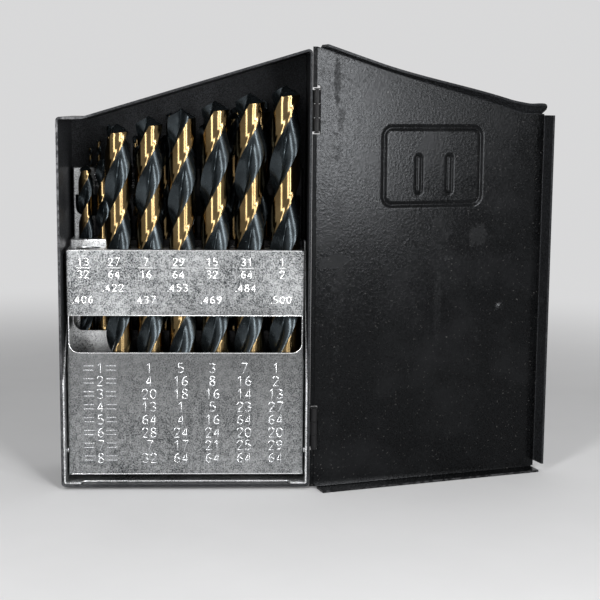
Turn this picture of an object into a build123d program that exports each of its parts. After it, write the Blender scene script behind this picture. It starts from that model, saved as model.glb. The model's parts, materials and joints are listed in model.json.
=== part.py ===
from build123d import *
import os
from dataclasses import dataclass
from fractions import Fraction
from math import atan, radians, tan

# Drill bit case: a folded sheet-metal box whose lid swings on a vertical hinge line, holding three
# perforated trays of twist drill bits that fan out on pivots in an inner carrier.
# Millimetres. +X runs to the hinge side, +Y from the open front to the back, +Z up.
# The origin is the middle of the pressed base that the case stands on.
# Depths are measured back from the rim, and heights up from the underside of the case.

INCH = 25.4
SIZES_PER_INCH = 64          # bit sizes are counted in 64ths of an inch
CUT = 1.0                    # how far a cutting solid runs past what it cuts

# --- Case ------------------------------------------------------------------------------------
case_width = 101.0
case_sheet = 0.9
hinge_side_height = 177.2
free_side_height = 149.6
level_top_length = 10.0      # level part of the top, beside the free side
knee_radius = 14.0           # bend between the level and the sloping top
case_corner_radius = 1.6
base_side_margin = 9.0       # round the pressed base panel
base_front_margin = 11.0
base_back_margin = 9.5
base_corner_radius = 4.0

# --- Lid -------------------------------------------------------------------------------------
lid_sheet = 0.9
lid_gap = 0.35               # between the case and the closed lid, at the rim and round the walls
lid_floor_gap = 0.1          # under the lid's lower flange
lid_flange = 6.7             # from the lid's inner face
lid_corner_notch = 1.8       # parts the flanges at the lid's free corners
lid_hinge_corner_radius = 0.6
lid_open_angle = 198.3       # from closed to wide open, where it rests

# --- Pressings in the lid: places from the hinge axis and from the case's underside -------------
pressing_depth = 0.4
frame_ridge = 1.7
frame_middle = (51.3, 130.5)
frame_size = (47.0, 34.6)
frame_radius = 4.4
rib_size = (3.8, 17.0)
rib_end_radius = 1.85
rib_middles = ((45.0, 127.2), (58.8, 127.2))

# --- Detent: a bump on the case wall that sits in a dimple of the lid's flange -------------------
detent_height_up = 73.6
detent_depth = 3.4
detent_radius = 2.4
detent_bump = 0.22
detent_dimple = 0.5

# --- Hinges ----------------------------------------------------------------------------------
knuckle_radius = 1.4
knuckle_wall_gap = 0.35      # between the lid's knuckles and the case wall
knuckle_gap = 0.15           # between neighbouring knuckles
hinge_length = 16.4
hinge_middles = {"lower": 24.5, "upper": 152.7}
knuckles_per_hinge = 3       # the middle one is the leaf's, the others the lid's
pin_radius = 0.7
pin_clearance = 0.05
pin_head_radius = 1.15
pin_head_height = 0.5
pin_head_clearance = 0.3
leaf_sheet = 0.7
leaf_depth = 8.0
leaf_swing_gap = 0.35        # between the lid's knuckles and the leaf
panel_setback = 0.2          # lid panel's edge, in from the hinge axis

# --- Carrier ---------------------------------------------------------------------------------
carrier_sheet = 0.8
carrier_rim_gap = 0.4
carrier_back_gap = 0.5
carrier_flush_height = 44.0  # its side flanges are flush with the rim up to here
carrier_step = (15.0, 64.0)  # depth and height of the corner in the flange's front edge
carrier_top = (33.0, 98.0)
carrier_tab_width = 7.0
carrier_recess = 3.0         # of the lower front edge, between the corner tabs
carrier_recess_radius = 2.0
carrier_fold_radius = 1.0    # outside its folds, clear of the case's corner radius
carrier_rivet_spacing = 60.0
carrier_rivet_radius = 1.5
carrier_rivet_head_radius = 2.6
carrier_rivet_head_height = 0.7
carrier_rivet_from_back = 4.4

# --- Trays -----------------------------------------------------------------------------------
front_face_depth = 6.1
tray_sheet = 0.7
tray_side_gap = 0.6          # between a tray and the carrier, each side
tray_run_gap = 0.5           # between a tray's back edge and the next tray's face
tray_back_gap = 0.6          # behind the rear tray
tray_back_relief = 2.6       # slope of the flange's back edge below the pivot
tray_bend_radius = 0.6
window_strip = 0.95          # of the face, left standing beside the window
window_radius = 4.0
hole_clearance = 0.2         # round each bit
hole_web = 0.45              # metal in front of and behind the largest hole
pivot_radius = 1.5
pivot_clearance = 0.06
pivot_head_radius = 2.3
pivot_head_height = 0.6
pivot_head_gap = 0.1
pivot_behind_face = 3.2

# --- Drill bits: jobber lengths in inches, by size in 64ths of an inch ----------------------------
SHORT_LENGTHS = {4: 1.875, 5: 2.0, 6: 2.25, 7: 2.625, 8: 2.75, 9: 2.875, 10: 3.125, 11: 3.25}
steady_from = 12             # from this size on, each size is one step longer
steady_length = 3.5
steady_step = 0.125
point_angle = 118.0
shank_chamfer = 0.25


def diameter(size):
    """Diameter of a bit, given in 64ths of an inch."""
    return size * INCH / SIZES_PER_INCH


def bit_length(size):
    """Overall length of a bit, given in 64ths of an inch."""
    inches = SHORT_LENGTHS.get(size, steady_length + (size - steady_from) * steady_step)
    return inches * INCH


# --- Worked out from the sizes above -----------------------------------------------------------
case_bottom = lid_floor_gap + lid_sheet + lid_gap
left = -case_width / 2
right = case_width / 2
inner_left = left + case_sheet
inner_right = right - case_sheet
inner_bottom = case_bottom + case_sheet
tray_left = inner_left + carrier_sheet + tray_side_gap
tray_right = inner_right - carrier_sheet - tray_side_gap
flange_left = tray_left + tray_sheet
flange_right = tray_right - tray_sheet


@dataclass
class Tray:
    """One row of bits: heights, sizes in 64ths of an inch, and how they are spread."""

    name: str
    sizes: list
    heights: dict            # panel, window, band, top, guide and pivot
    floors: dict             # floor height, by the largest size that stands on it
    margins: tuple           # from the tray's sides to the first and the last bit
    even_gaps: bool          # otherwise the gaps grow with the bits
    missing: tuple = ()
    face: float = 0.0        # depth of its face

    def depth(self):
        return tray_sheet + 2 * hole_web + diameter(self.sizes[-1]) + 2 * hole_clearance

    def back(self):
        return self.face + self.depth()

    def row(self):
        """Depth of the line of bits."""
        return (self.face + tray_sheet + self.back()) / 2

    def places(self):
        """X of each bit, by its size."""
        pairs = list(zip(self.sizes, self.sizes[1:]))
        weights = [1 if self.even_gaps else a + b for a, b in pairs]
        metal = sum(diameter(size) for size in self.sizes)
        free = tray_right - tray_left - sum(self.margins) - metal
        x = tray_left + self.margins[0] + diameter(self.sizes[0]) / 2
        places = {self.sizes[0]: x}
        for (a, b), weight in zip(pairs, weights):
            x += (diameter(a) + diameter(b)) / 2 + free * weight / sum(weights)
            places[b] = x
        return places

    def middle_of_gap(self, size, next_size):
        """X of the middle of the gap between two neighbouring bits."""
        places = self.places()
        right_side = places[size] + diameter(size) / 2
        return (right_side + places[next_size] - diameter(next_size) / 2) / 2

    def floor(self, size):
        """Height of the floor that a size stands on."""
        return next(height for largest, height in self.floors.items() if size <= largest)


front = Tray(
    name="front",
    sizes=list(range(26, 33)),
    heights=dict(panel=3.5, window=54.5, band=69.7, top=96.6, guide=28.0, pivot=13.2),
    floors={32: 10.4},
    margins=(3.0, 1.6),
    even_gaps=True,
    missing=(26,),
)
middle = Tray(
    name="middle",
    sizes=list(range(16, 26)),
    heights=dict(panel=24.8, window=61.2, band=73.0, top=99.4, guide=44.0, pivot=35.0),
    floors={25: 27.9},
    margins=(2.8, 2.8),
    even_gaps=True,
)
rear = Tray(
    name="rear",
    sizes=list(range(4, 16)),
    heights=dict(panel=58.5, window=108.0, band=116.9, top=128.5, guide=99.0, pivot=68.0),
    floors={6: 89.0, 10: 72.0, 15: 62.0},
    margins=(6.1, 2.6),
    even_gaps=False,
)
TRAYS = (front, middle, rear)
front.face = front_face_depth
middle.face = front.back() + tray_run_gap
rear.face = middle.back() + tray_run_gap
case_depth = rear.back() + tray_back_gap + case_sheet
rim = -case_depth / 2
inner_back = rim + case_depth - case_sheet
hinge_x = right + knuckle_wall_gap + knuckle_radius
hinge_axis = Axis((hinge_x, rim, 0), (0, 0, 1))


def at_depth(depth):
    return rim + depth


def at_height(height):
    return case_bottom + height


# --- Helpers -----------------------------------------------------------------------------------
def block(x0, x1, y0, y1, z0, z1):
    """Box between two corners."""
    box = Box(x1 - x0, y1 - y0, z1 - z0, align=(Align.MIN, Align.MIN, Align.MIN))
    return Pos(x0, y0, z0) * box


def upright(x, y, z0, z1, radius):
    """Round bar along Z."""
    bar = Cylinder(radius, z1 - z0, align=(Align.CENTER, Align.CENTER, Align.MIN))
    return Pos(x, y, z0) * bar


def crosswise(x0, x1, y, z, radius):
    """Round bar along X."""
    return Pos((x0 + x1) / 2, y, z) * Rot(0, 90, 0) * Cylinder(radius, abs(x1 - x0))


def front_drawing(corners, y):
    """Face drawn in X and Z, at a Y."""
    return make_face(Polyline(*[(x, y, z) for x, z in corners], close=True))


def side_plate(corners, x0, x1):
    """Plate drawn in depth and height, from one X to another."""
    wire = Polyline(*[(x0, at_depth(d), at_height(h)) for d, h in corners], close=True)
    return extrude(make_face(wire), amount=x1 - x0, dir=(1, 0, 0))


def deepen(face, amount):
    """Solid from a front drawing, towards the back."""
    return extrude(face, amount=amount, dir=(0, 1, 0))


def rounded(face, choose, radius):
    """The drawing with the corners that choose picks rounded."""
    return fillet([corner for corner in face.vertices() if choose(corner)], radius)


# --- Case --------------------------------------------------------------------------------------
def is_knee(corner, knee_x, top):
    """Whether a corner is the one between the level and the sloping top."""
    return abs(corner.X - knee_x) < CUT and corner.Z > top - CUT


def outline(y, grow=0.0, right_edge=right, right_radius=case_corner_radius):
    """Front outline of the case, grown outwards, with its right edge at an X."""
    knee = left + level_top_length
    slope = (hinge_side_height - free_side_height) / (right - knee)
    bend = atan(slope)
    knee_x = knee - grow * tan(bend / 2)
    top_left = at_height(free_side_height) + grow
    bottom = case_bottom - grow
    top_right = top_left + (right_edge - knee_x) * slope
    corners = [
        (left - grow, bottom),
        (right_edge, bottom),
        (right_edge, top_right),
        (knee_x, top_left),
        (left - grow, top_left),
    ]
    face = front_drawing(corners, y)
    face = rounded(face, lambda v: v.X > right_edge - CUT, right_radius)
    face = rounded(face, lambda v: v.X < left - grow + CUT, case_corner_radius + grow)
    return rounded(face, lambda v: is_knee(v, knee_x, top_left), knee_radius)


def dome(x, height, radius, side):
    """Shallow dome on the detent's line, bulging to one side of a plane at x."""
    ball = (radius**2 + height**2) / (2 * height)
    middle_x = x - side * (ball - height)
    place = Pos(middle_x, at_depth(detent_depth), at_height(detent_height_up))
    far = x + side * (height + CUT)
    y, z = at_depth(detent_depth), at_height(detent_height_up)
    reach = radius + CUT
    keep = block(min(x, far), max(x, far), y - reach, y + reach, z - reach, z + reach)
    return place * Sphere(ball) & keep


def base_panel(inset, low, high):
    """Rounded block of the pressed base, drawn in by an inset."""
    size_x = case_width - 2 * (base_side_margin + inset)
    y0 = at_depth(base_front_margin + inset)
    y1 = at_depth(case_depth - base_back_margin - inset)
    panel = block(-size_x / 2, size_x / 2, y0, y1, low, high)
    return fillet(panel.edges().filter_by(Axis.Z), base_corner_radius - inset)


def case_shell():
    outside = deepen(outline(rim), case_depth)
    inner_radius = case_corner_radius - case_sheet
    opening = outline(rim - CUT, -case_sheet, inner_right, inner_radius)
    shell = outside - deepen(opening, case_depth - case_sheet + CUT)
    shell += base_panel(0, 0, inner_bottom)
    shell -= base_panel(case_sheet, case_sheet, inner_bottom + CUT)
    shell += dome(left, detent_bump, detent_radius, -1)
    for x in rivet_places():
        shell -= upright(x, rivet_y(), 0, inner_bottom + CUT, carrier_rivet_radius)
    return shell


# --- Lid, modelled closed and then swung open -----------------------------------------------------
def lid_pressing(size, middle_place, radius, y0, y1):
    """Rounded block on the lid, placed from the hinge axis and the case's underside."""
    from_hinge, height = middle_place
    plane = Plane((hinge_x - from_hinge, y0, at_height(height)), x_dir=(1, 0, 0), z_dir=(0, -1, 0))
    return deepen(plane * RectangleRounded(*size, radius), y1 - y0)


def lid_frame(y0, y1):
    """The pressed rounded frame and the two ribs inside it."""
    inside = tuple(length - 2 * frame_ridge for length in frame_size)
    ring = lid_pressing(frame_size, frame_middle, frame_radius, y0, y1)
    ring -= lid_pressing(inside, frame_middle, frame_radius - frame_ridge, y0, y1)
    for rib in rib_middles:
        ring += lid_pressing(rib_size, rib, rib_end_radius, y0, y1)
    return ring


def knuckle(z0, z1):
    return upright(hinge_x, rim, z0, z1, knuckle_radius)


def knuckle_heights(hinge):
    """Heights of the three knuckles of a hinge, from the lowest up."""
    start = at_height(hinge_middles[hinge]) - hinge_length / 2
    step = (hinge_length + knuckle_gap) / knuckles_per_hinge
    lows = [start + i * step for i in range(knuckles_per_hinge)]
    return [(low, low + step - knuckle_gap) for low in lows]


def closed_lid():
    inner_face = rim - lid_gap
    outer_face = inner_face - lid_sheet
    edge = hinge_x - panel_setback
    grow = lid_gap + lid_sheet
    plate = outline(outer_face, grow, edge, lid_hinge_corner_radius)
    hollow = outline(inner_face, lid_gap, edge + CUT, lid_hinge_corner_radius)
    lid = deepen(plate, lid_sheet + lid_flange) - deepen(hollow, lid_flange + CUT)
    bottom, top = case_bottom - grow, at_height(hinge_side_height) + 2 * grow
    behind = inner_face + lid_flange + CUT
    lid -= block(right, edge + CUT, inner_face, behind, bottom - CUT, top + CUT)
    corner = left - grow
    for z in (bottom, at_height(free_side_height) + grow):
        notch = lid_corner_notch
        lid -= block(corner - CUT, corner + notch, inner_face, behind, z - notch, z + notch)
    lid += lid_frame(outer_face - pressing_depth, outer_face)
    lid -= lid_frame(inner_face - pressing_depth, inner_face + CUT)
    wall = left - lid_gap
    lid += dome(wall - lid_sheet, detent_dimple, detent_radius + detent_dimple, -1)
    lid -= dome(wall, detent_dimple, detent_radius + detent_dimple, -1)
    for hinge in hinge_middles:
        low, mid, high = knuckle_heights(hinge)
        near_x = hinge_x - knuckle_radius - knuckle_wall_gap
        low_z, high_z = mid[0] - knuckle_gap, mid[1] + knuckle_gap
        lid -= block(near_x, hinge_x + CUT, outer_face - CUT, rim, low_z, high_z)
        reach = pin_head_height + knuckle_gap + pin_head_clearance
        for z0, z1 in ((low[0] - reach, low[0]), (high[1], high[1] + reach)):
            lid -= upright(hinge_x, rim, z0, z1, pin_head_radius + pin_head_clearance)
        for z0, z1 in (low, high):
            lid += knuckle(z0, z1)
        lid -= upright(hinge_x, rim, low[0] - CUT, high[1] + CUT, pin_radius + pin_clearance)
    return lid


def lid_panel():
    return closed_lid().rotate(hinge_axis, lid_open_angle)


# --- Hinges --------------------------------------------------------------------------------------
def hinge_leaf(hinge):
    low, mid, high = knuckle_heights(hinge)
    start = rim + knuckle_radius + leaf_swing_gap
    leaf = block(right, right + leaf_sheet, start, rim + leaf_depth, low[0], high[1])
    leaf += block(right, right + leaf_sheet, rim, start, *mid)
    leaf += knuckle(*mid)
    return leaf - upright(hinge_x, rim, mid[0] - CUT, mid[1] + CUT, pin_radius)


def hinge_pin(hinge):
    low, mid, high = knuckle_heights(hinge)
    bottom, top = low[0] - knuckle_gap, high[1] + knuckle_gap
    pin = upright(hinge_x, rim, bottom, top, pin_radius)
    pin += upright(hinge_x, rim, bottom - pin_head_height, bottom, pin_head_radius)
    return pin + upright(hinge_x, rim, top, top + pin_head_height, pin_head_radius)


# --- Carrier -------------------------------------------------------------------------------------
def rivet_places():
    return (-carrier_rivet_spacing / 2, carrier_rivet_spacing / 2)


def rivet_y():
    return inner_back - carrier_rivet_from_back


def is_outer_fold(edge):
    """Whether an edge is where a side flange meets the carrier's bottom, on the outside."""
    place = edge.center()
    from_wall = min(place.X - inner_left, inner_right - place.X)
    return place.Z < inner_bottom + carrier_sheet / 2 and from_wall < CUT / 2


def carrier():
    back = case_depth - case_sheet - carrier_back_gap
    bottom = inner_bottom - case_bottom
    flange = [
        (carrier_rim_gap, bottom),
        (carrier_rim_gap, carrier_flush_height),
        carrier_step,
        carrier_top,
        (back, carrier_top[1]),
        (back, bottom),
    ]
    low, high = inner_bottom, inner_bottom + carrier_sheet
    body = block(inner_left, inner_right, at_depth(carrier_rim_gap), at_depth(back), low, high)
    between = block(
        inner_left + carrier_tab_width,
        inner_right - carrier_tab_width,
        rim - CUT,
        at_depth(carrier_rim_gap + carrier_recess),
        low - CUT,
        high + CUT,
    )
    corners = between.edges().filter_by(Axis.Z).sort_by(Axis.Y)[-2:]
    body -= fillet(corners, carrier_recess_radius)
    body += side_plate(flange, inner_left, inner_left + carrier_sheet)
    body += side_plate(flange, inner_right - carrier_sheet, inner_right)
    folds = [edge for edge in body.edges().filter_by(Axis.Y) if is_outer_fold(edge)]
    body = fillet(folds, carrier_fold_radius)
    for tray in TRAYS:
        body -= crosswise(left, right, *pivot_place(tray), pivot_radius)
    for x in rivet_places():
        body -= upright(x, rivet_y(), low - CUT, high + CUT, carrier_rivet_radius)
    return body


def carrier_rivets():
    rivets = []
    top = inner_bottom + carrier_sheet
    for x in rivet_places():
        rivet = upright(x, rivet_y(), case_bottom, top, carrier_rivet_radius)
        for z in (case_bottom - carrier_rivet_head_height, top):
            head_top = z + carrier_rivet_head_height
            rivet += upright(x, rivet_y(), z, head_top, carrier_rivet_head_radius)
        rivets.append(rivet)
    return Compound(children=rivets)


# --- Trays ---------------------------------------------------------------------------------------
def pivot_place(tray):
    """Y and Z of a tray's pivot line."""
    return at_depth(tray.face + pivot_behind_face), at_height(tray.heights["pivot"])


def tray_frame(tray):
    """Face with its window, and the two side flanges."""
    h = tray.heights
    face, back = at_depth(tray.face), at_depth(tray.back())
    low, high = at_height(h["panel"]), at_height(h["top"])
    frame = block(tray_left, tray_right, face, back, low, high)
    bends = frame.edges().filter_by(Axis.Z).sort_by(Axis.Y)[:2]
    bends += frame.edges().filter_by(Axis.X).sort_by(Axis.Z)[-2:].sort_by(Axis.Y)[:1]
    frame = fillet(bends, tray_bend_radius)
    frame -= block(flange_left, flange_right, face + tray_sheet, back + CUT, low - CUT, high + CUT)
    window_left, window_right = tray_left + window_strip, tray_right - window_strip
    bottom, top = at_height(h["window"]), at_height(h["band"])
    corners = [(window_left, bottom), (window_right, bottom), (window_right, top), (window_left, top)]
    window = front_drawing(corners, face - CUT)
    window = rounded(window, lambda v: v.Z < bottom + CUT, window_radius)
    frame -= deepen(window, tray_sheet + CUT)
    relief = [
        (tray.back(), h["pivot"]),
        (tray.back() - tray_back_relief, h["panel"] - CUT),
        (tray.back() + CUT, h["panel"] - CUT),
        (tray.back() + CUT, h["pivot"]),
    ]
    frame -= side_plate(relief, tray_left - CUT, tray_right + CUT)
    return frame - crosswise(left, right, *pivot_place(tray), pivot_radius + pivot_clearance)


def perforated(tray, top):
    """Plate between the flanges, with a hole for each bit."""
    y0, y1 = at_depth(tray.face + tray_sheet), at_depth(tray.back())
    plate = block(flange_left, flange_right, y0, y1, top - tray_sheet, top)
    for size, x in tray.places().items():
        radius = diameter(size) / 2 + hole_clearance
        plate -= upright(x, at_depth(tray.row()), top - tray_sheet - CUT, top + CUT, radius)
    return plate


def tray_shelf(tray):
    return perforated(tray, at_height(tray.heights["top"]))


def tray_guide(tray):
    """Lower perforated plate, which keeps the shanks in line."""
    return perforated(tray, at_height(tray.heights["guide"]))


def tray_floor(tray):
    """Floor on which the shanks stand, stepped where the tray has several levels."""
    y0 = at_depth(tray.face + tray_sheet)
    y1 = at_depth(tray.back() - tray_back_relief / 2)
    start = flange_left
    floor = None
    last_top = None
    for largest, height in tray.floors.items():
        if largest == tray.sizes[-1]:
            end = flange_right
        else:
            end = tray.middle_of_gap(largest, largest + 1)
        top = at_height(height)
        level = block(start, end, y0, y1, top - tray_sheet, top)
        if floor is None:
            floor = level
        else:
            riser = block(start - tray_sheet, start, y0, y1, top - tray_sheet, last_top)
            floor = floor + riser + level
        start, last_top = end, top
    return floor


def tray_pivots(tray):
    """Two headed studs, fixed in the carrier, that the tray turns on."""
    y, z = pivot_place(tray)
    studs = []
    for side in (-1, 1):
        wall = abs(inner_left)
        head = abs(flange_left) - pivot_head_gap
        stud = crosswise(side * wall, side * (head - pivot_head_height), y, z, pivot_radius)
        stud += crosswise(side * head, side * (head - pivot_head_height), y, z, pivot_head_radius)
        studs.append(stud)
    return Compound(children=studs)


# --- Drill bits ------------------------------------------------------------------------------------
def drill_bit(tray, size):
    """Round bar with a conical point, standing on its tray's floor."""
    radius = diameter(size) / 2
    bottom = at_height(tray.floor(size))
    tip = bottom + bit_length(size)
    point = radius / tan(radians(point_angle / 2))
    profile = Polyline(
        (0, 0, bottom),
        (radius - shank_chamfer, 0, bottom),
        (radius, 0, bottom + shank_chamfer),
        (radius, 0, tip - point),
        (0, 0, tip),
        close=True,
    )
    bar = revolve(make_face(profile), axis=Axis.Z)
    return Pos(tray.places()[size], at_depth(tray.row()), 0) * bar


def bit_name(size):
    share = Fraction(size, 64)
    return f"drill_bit_{share.numerator}_{share.denominator}"


# --- All the pieces ----------------------------------------------------------------------------------
def pieces():
    nodes = {
        "case_shell": case_shell(),
        "lid": lid_panel(),
        "tray_carrier": carrier(),
        "carrier_rivets": carrier_rivets(),
    }
    for hinge in hinge_middles:
        nodes[f"{hinge}_hinge_leaf"] = hinge_leaf(hinge)
        nodes[f"{hinge}_hinge_pin"] = hinge_pin(hinge)
    for tray in TRAYS:
        nodes[f"{tray.name}_tray_frame"] = tray_frame(tray)
        nodes[f"{tray.name}_tray_shelf"] = tray_shelf(tray)
        nodes[f"{tray.name}_tray_guide"] = tray_guide(tray)
        nodes[f"{tray.name}_tray_floor"] = tray_floor(tray)
        nodes[f"{tray.name}_tray_pivots"] = tray_pivots(tray)
        for size in tray.sizes:
            if size not in tray.missing:
                nodes[bit_name(size)] = drill_bit(tray, size)
    return nodes


os.makedirs("parts", exist_ok=True)
for node, shape in pieces().items():
    export_step(shape, f"parts/{node}.step")
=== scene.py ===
import json
from fractions import Fraction
from math import asin, atan2, ceil, cos, exp, hypot, pi, radians, sin, sqrt, tan

import bmesh
import bpy
from mathutils import Matrix, Vector


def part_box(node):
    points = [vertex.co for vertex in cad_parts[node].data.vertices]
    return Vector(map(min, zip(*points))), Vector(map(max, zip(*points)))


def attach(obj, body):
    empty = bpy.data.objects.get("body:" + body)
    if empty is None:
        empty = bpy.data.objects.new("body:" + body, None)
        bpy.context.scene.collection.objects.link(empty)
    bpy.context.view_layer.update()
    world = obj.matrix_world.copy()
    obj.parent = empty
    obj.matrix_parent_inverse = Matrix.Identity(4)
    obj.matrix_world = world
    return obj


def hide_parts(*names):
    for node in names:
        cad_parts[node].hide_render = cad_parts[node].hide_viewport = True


# Looks of a drill bit case that stands open: a black folded case and lid, zinc-plated trays and
# black-and-gold twist drills. Lengths are in metres, in the frame of the CAD: +X runs to the hinge
# side, +Y to the back and +Z up.

MM = 0.001
INCH = 25.4 * MM
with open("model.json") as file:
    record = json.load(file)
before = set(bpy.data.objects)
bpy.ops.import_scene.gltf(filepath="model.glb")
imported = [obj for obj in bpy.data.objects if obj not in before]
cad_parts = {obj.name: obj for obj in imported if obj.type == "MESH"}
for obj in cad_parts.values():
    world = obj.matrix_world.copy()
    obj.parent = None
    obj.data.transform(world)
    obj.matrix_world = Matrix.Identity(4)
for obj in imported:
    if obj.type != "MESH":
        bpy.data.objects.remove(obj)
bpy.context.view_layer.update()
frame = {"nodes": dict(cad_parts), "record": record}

# --- Camera ---
PHOTO_SIDE = 600
CAMERA_PLACE = Vector((25.7, -561.7, 156.9)) * MM
CAMERA_YAW = radians(2.17)  # towards +X
CAMERA_PITCH = radians(8.24)  # down
CAMERA_ROLL = radians(0.47)
FOCAL_PIXELS = 1357.9
SENSOR = 36.0
CLIP_START = 10 * MM
CLIP_END = 100.0

# --- Light and floor ---
WORLD_STRENGTH = 0.15
BACKGROUND = (0.690, 0.690, 0.695)
FLOOR_COLOUR = (0.64, 0.64, 0.645)
FLOOR_RADIUS = 30.0
FLOOR_DARKER = 0.97  # of its blotches
FLOOR_FADE = (0.24, 0.62)  # distances between which the floor turns into the background
# Name, place, what it points at, size and power.
LAMPS = (
    ("left_strip", (-0.295, -0.615, 0.33), (0.0, 0.0, 0.20), (0.13, 0.72), 4.4),
    ("inner_strip", (0.290, -0.617, 0.33), (0.0, 0.0, 0.20), (0.13, 0.72), 4.2),
    ("right_strip", (0.668, -0.778, 0.235), (0.07, 0.0, 0.15), (0.12, 0.38), 5.2),
    ("upper_strip", (0.765, -0.70, 0.175), (0.09, 0.0, 0.155), (0.12, 0.06), 0.3),
    ("ceiling", (0.05, 0.20, 0.95), (0.05, 0.10, 0.0), (0.9, 0.9), 3.0),
)

# --- Case and lid ---
case_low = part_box("case_shell")[0]
rim_y = case_low.y
EDGE_WIDTH = 0.2 * MM  # of the rounding along a sheet's cut edges
WELD_REACH = 0.001 * MM

# Closed lid, seen from the hinge line: u runs to the free side, v into the case and z up.
LID_PAST_FLAT = radians(18.3)
CASE_WIDTH = 101.0 * MM
CASE_RIGHT = CASE_WIDTH / 2
CASE_BOTTOM = 1.35 * MM
HINGE_X = 52.25 * MM
FREE_SIDE_HEIGHT = 149.6 * MM
HINGE_SIDE_HEIGHT = 177.2 * MM
KNEE_X = -40.5 * MM
KNEE_RADIUS = 14.0 * MM
LID_SHEET = 0.9 * MM
LID_GAP = 0.35 * MM  # round the closed case
LID_BEND = 0.8 * MM  # radius of the bends, in the middle of the sheet
LID_FLANGE_EDGE = 6.35 * MM  # v of the flanges' edges
LID_FLOOR = 0.55 * MM  # middle of the lower flange
LID_START = 0.2 * MM  # u of the panel's edge at the hinges
LID_FLANGE_START = 1.8 * MM  # u where the upper and lower flanges start
LID_NOTCH = 1.8 * MM  # parts the flanges at the free corners
LID_FREE = HINGE_X + CASE_RIGHT + LID_GAP + LID_SHEET / 2
BEND_STEPS = 6
FLANGE_STEPS = {"upper": 6, "lower": 6, "free": 12}
UPPER_ROWS = 14  # of the panel, where its upper edge slopes
COARSE = 2.2 * MM  # steps of the panel's mesh
FINE = 0.42 * MM  # over the pressings
LID_EDGE_WIDTH = 0.34 * MM
PRESS_FRAME = (51.3, 131.85, 21.8, 15.6, 3.6)  # mm: middle, half size and corner radius
PRESS_RIBS = ((45.0, 128.55), (58.8, 128.55))  # mm: middles
RIB_HALF_SIZE = (1.15, 7.75, 1.1)
RIB_WALL = (0.15, 0.75)  # mm from the rib's outline
PRESS_COLUMNS = (26 * MM, 76.4 * MM)
PRESS_BOTTOM = 112 * MM
PRESS_DEPTH = 0.62 * MM
PRESS_HALF_WIDTH = (0.35, 1.25)  # mm from the line of a pressing: flat floor, then its wall
# The pressed lid's upper edge is sprung upwards at the free side, and its flange is flared.
LID_RAISED = 2.4 * MM
RAISED_SPAN = (22 * MM, 90 * MM)
FLARES = ((1.7 * MM, 22 * MM, 86 * MM), (1.5 * MM, 82 * MM, 97 * MM))  # rise, from u to u
TIP_LENGTH = 4.0 * MM  # of the rounded end of the upper flange
TIP_DEPTH = 3.6 * MM
LID_BOW = 0.45 * MM  # how far the panel bows into the case
WAVE_DEPTH = 0.05 * MM
WAVE_SIZE = (15, 21)  # mm per radian, across and up
WAVE_START = (1.3, 0.4)
DENT_PLACE = (82.0, 74.0)  # mm
DENT_RADIUS = 2.2  # mm
DENT_DEPTH = 0.4 * MM
DIMPLE_PLACE = (3.4, 74.95)  # mm: v and z, in the free flange
DIMPLE_RADIUS = 2.9  # mm
DIMPLE_ROWS = (68 * MM, 81 * MM)
DIMPLE_STEP = 0.6 * MM
DIMPLE_DEPTH = 0.45 * MM

# Strip along the panel's hinge edge: u and v in mm, inside what the hinge leaves free.
EDGE_STRIP = ((0.35, -0.62), (-0.15, -0.61), (-0.65, -0.60), (-1.15, -0.59), (-1.57, -0.585))
EDGE_STRIP_SHEET = 0.12 * MM
EDGE_STRIP_STEP = 6 * MM
EDGE_STRIP_ROUNDING = 0.05 * MM

# Hinges: heights of their middles, three knuckles each, the middle one the case's.
HINGE_HEIGHTS = (25.85 * MM, 154.05 * MM)
HINGE_LENGTH = 16.4 * MM
KNUCKLE_GAP = 0.15 * MM
KNUCKLE_MIDDLE_RADIUS = 1.08 * MM
KNUCKLE_SHEET = 0.58 * MM
KNUCKLE_ROUNDING = 0.08 * MM
KNUCKLE_TRIM = 0.02 * MM  # off each end
KNUCKLE_TAB = ((2.6, -0.8), (1.5, -0.85), (0.7, -1.0))  # mm: u and v from the pin
CURL_SPOTS = 25
CURL_START = -90  # degrees
CURL_STEP = 12
HINGE_SLOT = 0.95 * MM  # beyond the knuckles, where the panel is cut back

# --- Powder coat ---
COAT_DARK = (0.0015, 0.0015, 0.0016)
COAT_LIGHT = (0.0085, 0.009, 0.0098)
COAT_RUBBED = (0.011, 0.0115, 0.0122)
COAT_DUST = (0.050, 0.049, 0.047)
COAT_WORN = (0.16, 0.16, 0.165)
COAT_SHEEN = (0.93, 0.96, 1.0)  # the coat's sheen is slightly blue
SMUDGE_ROUGHNESS = 0.24
# On the lid's panel, in mm: distance from the hinge, height, half width, half height; and strength.
LID_SMUDGES = (
    (8.7, 166.0, 1.7, 13.0, 0.8),
    (10.4, 151.0, 1.6, 6.0, 0.5),
    (8.4, 93.8, 7.0, 3.4, 1.0),
    (72.7, 103.0, 5.0, 5.5, 0.8),
    (54.5, 73.0, 2.2, 17.0, 0.5),
)

# --- Zinc plating ---
# Painted shade: below a height the zinc is painted darker, standing in for the shade on the lower panels;
# the dull part named below is this painted shade.
ZINC_LOW_SHADE_SHARES = (0.55, 0.55)  # near the base, and higher up
FRONT_LOW_SHADE_SHARES = (0.25, 0.78)
LOW_SHADE_HEIGHTS = (12 * MM, 52 * MM)  # where those two hold
LOW_SHADE_END = 14 * MM  # over which the dull part fades out
PLATED_DARK = (0.42, 0.43, 0.435)
PLATED_LIGHT = (0.92, 0.93, 0.935)
# Painted shade: dark tones of the zinc that stand in for the shadow on the trays behind the front bits.
GAP_SHADE_DARK = (0.006, 0.006, 0.0065)
GAP_SHADE_LIGHT = (0.022, 0.022, 0.023)
GAP_SHADE_FADE = (3 * MM, 1 * MM)  # across and up
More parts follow.
